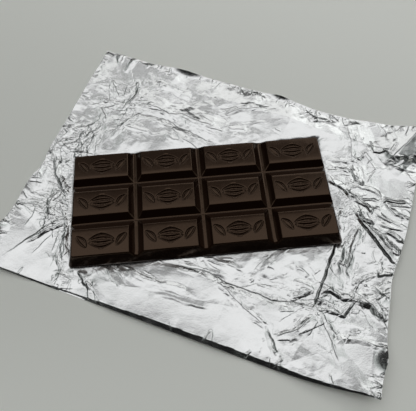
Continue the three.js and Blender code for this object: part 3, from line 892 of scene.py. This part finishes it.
def wrinkle_along(sheet, path, rng):
    """Presses small wrinkles into the sheet beside one fold, mostly in its own direction."""
    for (s0, t0), (s1, t1) in zip(path, path[1:]):
        length, turn = math.hypot(s1 - s0, t1 - t0), math.atan2(t1 - t0, s1 - s0)
        for density, spread, stray, lengths, rises, gentle in ALONG_FOLDS:
            count = density * length
            for _ in range(int(count) + (rng.random() < count % 1)):
                share, off = rng.random(), rng.gauss(0, spread)
                s = s0 + (s1 - s0) * share - math.sin(turn) * off
                t = t0 + (t1 - t0) * share + math.cos(turn) * off
                heading = turn + math.radians(rng.uniform(-stray, stray)) + math.pi * rng.randrange(2)
                rise = rng.uniform(*rises)
                small = wandering(rng, s, t, rng.uniform(*lengths), heading)
                odds = 1 if among((s, t), CRINKLED_SPOTS) else ELSEWHERE
                if rng.random() < odds and not among((s, t), SMOOTH_SPOTS):
                    reaches = rng.uniform(*gentle), rng.uniform(*STEEP_REACH)
                    sheet.fold(small, rise, *reaches, SMALL_SHARP * rise)


def nick_edges(sheet, rng):
    """Short wrinkles that run in from the edges of the sheet."""
    half_s, half_t = FOIL_LENGTH / 2, FOIL_WIDTH / 2
    corners = [(-half_s, -half_t), (half_s, -half_t), (half_s, half_t), (-half_s, half_t)]
    for (s0, t0), (s1, t1), count in zip(corners, corners[1:] + corners[:1], NICKS):
        inward = math.atan2(t1 - t0, s1 - s0) + math.pi / 2
        for _ in range(count):
            share, heading = rng.random(), inward + math.radians(rng.uniform(-NICK_STRAY, NICK_STRAY))
            spot = s0 + (s1 - s0) * share, t0 + (t1 - t0) * share
            small = wandering(rng, *spot, rng.uniform(*NICK_LENGTHS), heading)
            rise = rng.uniform(*NICK_RISES)
            reaches = rng.uniform(*NICK_REACHES), rng.uniform(*STEEP_REACH)
            sheet.fold(small, rise, *reaches, NICK_SHARP)


def shape_sheet():
    """The wrapper's grid with all its folds and wrinkles."""
    sheet = Sheet()
    rng = random.Random(WRINKLE_SEED)
    for swell in SWELLS:
        sheet.fold(*swell, 0.0)
    for fold in FOLDS:
        sheet.fold(*fold)
        wrinkle_along(sheet, fold[0], rng)
    nick_edges(sheet, rng)
    return sheet


def lay_sheet(sheet):
    """The places of the sheet's points, which the bar keeps down near it, and their creases."""
    s, t = sheet.s, sheet.t
    warped = s + rolling(s, t, WARP_CELL, 3) * WARP, t + rolling(s, t, WARP_CELL, 4) * WARP
    rough = 1 - SMOOTHED * smoothness(s, t)
    broad = SAG + rim_height(s, t) + rough * sum(crumple(s, t, *layer) for layer in CRUMPLES)
    fine = sheet.z + rough * sum(crumple(*warped, *layer) for layer in FINE_CRUMPLES)
    along, across = gathered(s, t)
    x = along * math.cos(FOIL_TURN) - across * math.sin(FOIL_TURN) + FOIL_CENTRE.x
    y = along * math.sin(FOIL_TURN) + across * math.cos(FOIL_TURN) + FOIL_CENTRE.y
    clear = clear_of_bar(x, y)
    free = eased(clear, *FINE_FREE)
    hem_reach = np.interp(s, *HEM_REACH) * (1 + HEM_WAVER * rolling(s, t, HEM_CELL, 5))
    hem = np.maximum(hem_reach - inside_edges(s, t)["front"], 0)
    z = broad * eased(clear, *BROAD_FREE) + fine * free - HEM_SLOPE * hem
    z = np.clip(z, FOIL_THICKNESS + FOIL_GAP, FOIL_TOP)
    z = np.minimum(z, LEAN_AGAINST[0] + LEAN_AGAINST[1] * np.maximum(clear, 0))
    return np.stack([x, y, z], axis=-1), sheet.crease * free


def foil_strip(points, creases, material, name):
    """A strip of the sheet as a thin closed mesh."""
    rows, columns = creases.shape
    bm = bmesh.new()
    bmesh.ops.create_grid(bm, x_segments=columns - 1, y_segments=rows - 1, size=1)
    # Each point keeps its crease share, which the foil's material paints as shade along the creases.
    crease = bm.verts.layers.float.new("crease")
    for vert in bm.verts:
        i = round((vert.co.x + 1) / 2 * (columns - 1))
        j = round((vert.co.y + 1) / 2 * (rows - 1))
        vert.co = points[j, i]
        vert[crease] = creases[j, i]
    bmesh.ops.recalc_face_normals(bm, faces=bm.faces)
    if sum(face.normal.z for face in bm.faces) < 0:
        bmesh.ops.reverse_faces(bm, faces=bm.faces)
    piece = finish_piece(bm, name, material)
    solidify = piece.modifiers.new("thickness", "SOLIDIFY")
    solidify.thickness = FOIL_THICKNESS * MM
    solidify.offset = -1
    return piece


def build_foil(material):
    """The wrapper, as strips that meet edge to edge."""
    points, creases = lay_sheet(shape_sheet())
    count = CELLS_S // STRIPS
    strips = []
    for k in range(STRIPS):
        part = slice(k * count, (k + 1) * count + 1)
        strips.append(foil_strip(points[:, part], creases[:, part], material, f"creased_foil_{k + 1}"))
    return strips


# -------------------------------------------------------------------------------- light and surroundings

FLOOR_HALF, FLOOR_DROP = 1500.0, 0.05
ROOM_COLOUR, SKY_COLOUR = (0.93, 1.0, 0.97, 1), (0.985, 0.99, 1.0, 1)
SKY, ROOM, HORIZON, DARK, BEHIND = 1.15, 0.47, 0.015, 0.004, 0.22
HORIZON_SPREAD = (0.36, 0.72)  # the heights between which the horizon turns into the room
SKY_SPREAD = (0.64, 0.82)  # and the room into the bright space overhead
SKY_LEAN = 0.08  # that space leans to the front
BEHIND_SPREAD = (0.36, 0.54)  # how far to the back the room turns dim
BEHIND_REACH = (0.42, 0.26)  # and how far to either side of there
DARK_SPREAD = (0.42, 0.0)  # how far to the front the room turns dark
GLOW = 0.10  # of a low band of light at the front, which the foil mirrors when seen from behind
GLOW_FOOT, GLOW_TOP = (0.02, 0.12), (0.45, 0.30)  # the heights between which it comes and goes
GLOW_REACH = (0.3, 0.6)  # how far to the front it begins
WINDOW_PLACE = Vector((0.21, 0.78, 0.66))
WINDOW_SIZE = (1.5, 0.4)
WINDOW_RADIANCE = 1.1


def add_floor(material):
    """The table top, just under the wrapper."""
    bm = bmesh.new()
    bmesh.ops.create_grid(bm, x_segments=1, y_segments=1, size=FLOOR_HALF)
    bmesh.ops.translate(bm, vec=(0, 0, -FLOOR_DROP), verts=bm.verts)
    floor = finish_piece(bm, "table", material)


def add_world():
    """A room bright overhead, dimmer at the sides and behind, and dark to the front but for a low glow."""
    world = bpy.data.worlds.new("studio")
    bpy.context.scene.world = world
    world.use_nodes = True
    g = Graph(world.node_tree)
    way = g.node("ShaderNodeTexCoord")
    up = g.dot(way, (0, 0, 1))
    toward = g.dot(way, (0, -1, 0))
    aside = g.dot(way, (1, 0, 0)).size()
    overhead = g.ramp(up + toward * SKY_LEAN, *SKY_SPREAD)
    level = g.ramp(up, *HORIZON_SPREAD, HORIZON, ROOM) + overhead * (SKY - ROOM)
    behind = g.ramp(toward * -1, *BEHIND_SPREAD) * g.ramp(aside, *BEHIND_REACH)
    dimmed = g.ramp(behind, 0.0, 1.0, 1.0, BEHIND) * g.ramp(toward, *DARK_SPREAD, DARK, 1.0)
    glow = g.ramp(up, *GLOW_FOOT) * g.ramp(up, *GLOW_TOP) * g.ramp(toward, *GLOW_REACH) * GLOW
    background = g.node("ShaderNodeBackground", {
        "Color": g.mix(overhead, ROOM_COLOUR, SKY_COLOUR),
        "Strength": level * dimmed + glow,
    })
    g.node("ShaderNodeOutputWorld", {0: background})


def add_window():
    """A broad flat light behind the bar, which faces it."""
    data = bpy.data.lights.new("window", "AREA")
    data.shape = "RECTANGLE"
    data.size, data.size_y = WINDOW_SIZE
    data.energy = WINDOW_RADIANCE * math.pi * data.size * data.size_y
    light = bpy.data.objects.new("window", data)
    light.location = WINDOW_PLACE
    light.rotation_euler = (-WINDOW_PLACE).to_track_quat("-Z", "Y").to_euler()
    bpy.context.scene.collection.objects.link(light)


# ------------------------------------------------------------------------------------------ assembly

add_camera()

bar = build_bar(chocolate_material())
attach(bar, "root")
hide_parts("chocolate_bar")

for strip in build_foil(foil_material()):
    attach(strip, "root")
    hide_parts("foil_wrapper")

add_floor(table_material())
add_world()
add_window()
bpy.context.scene.view_settings.view_transform = "Standard"
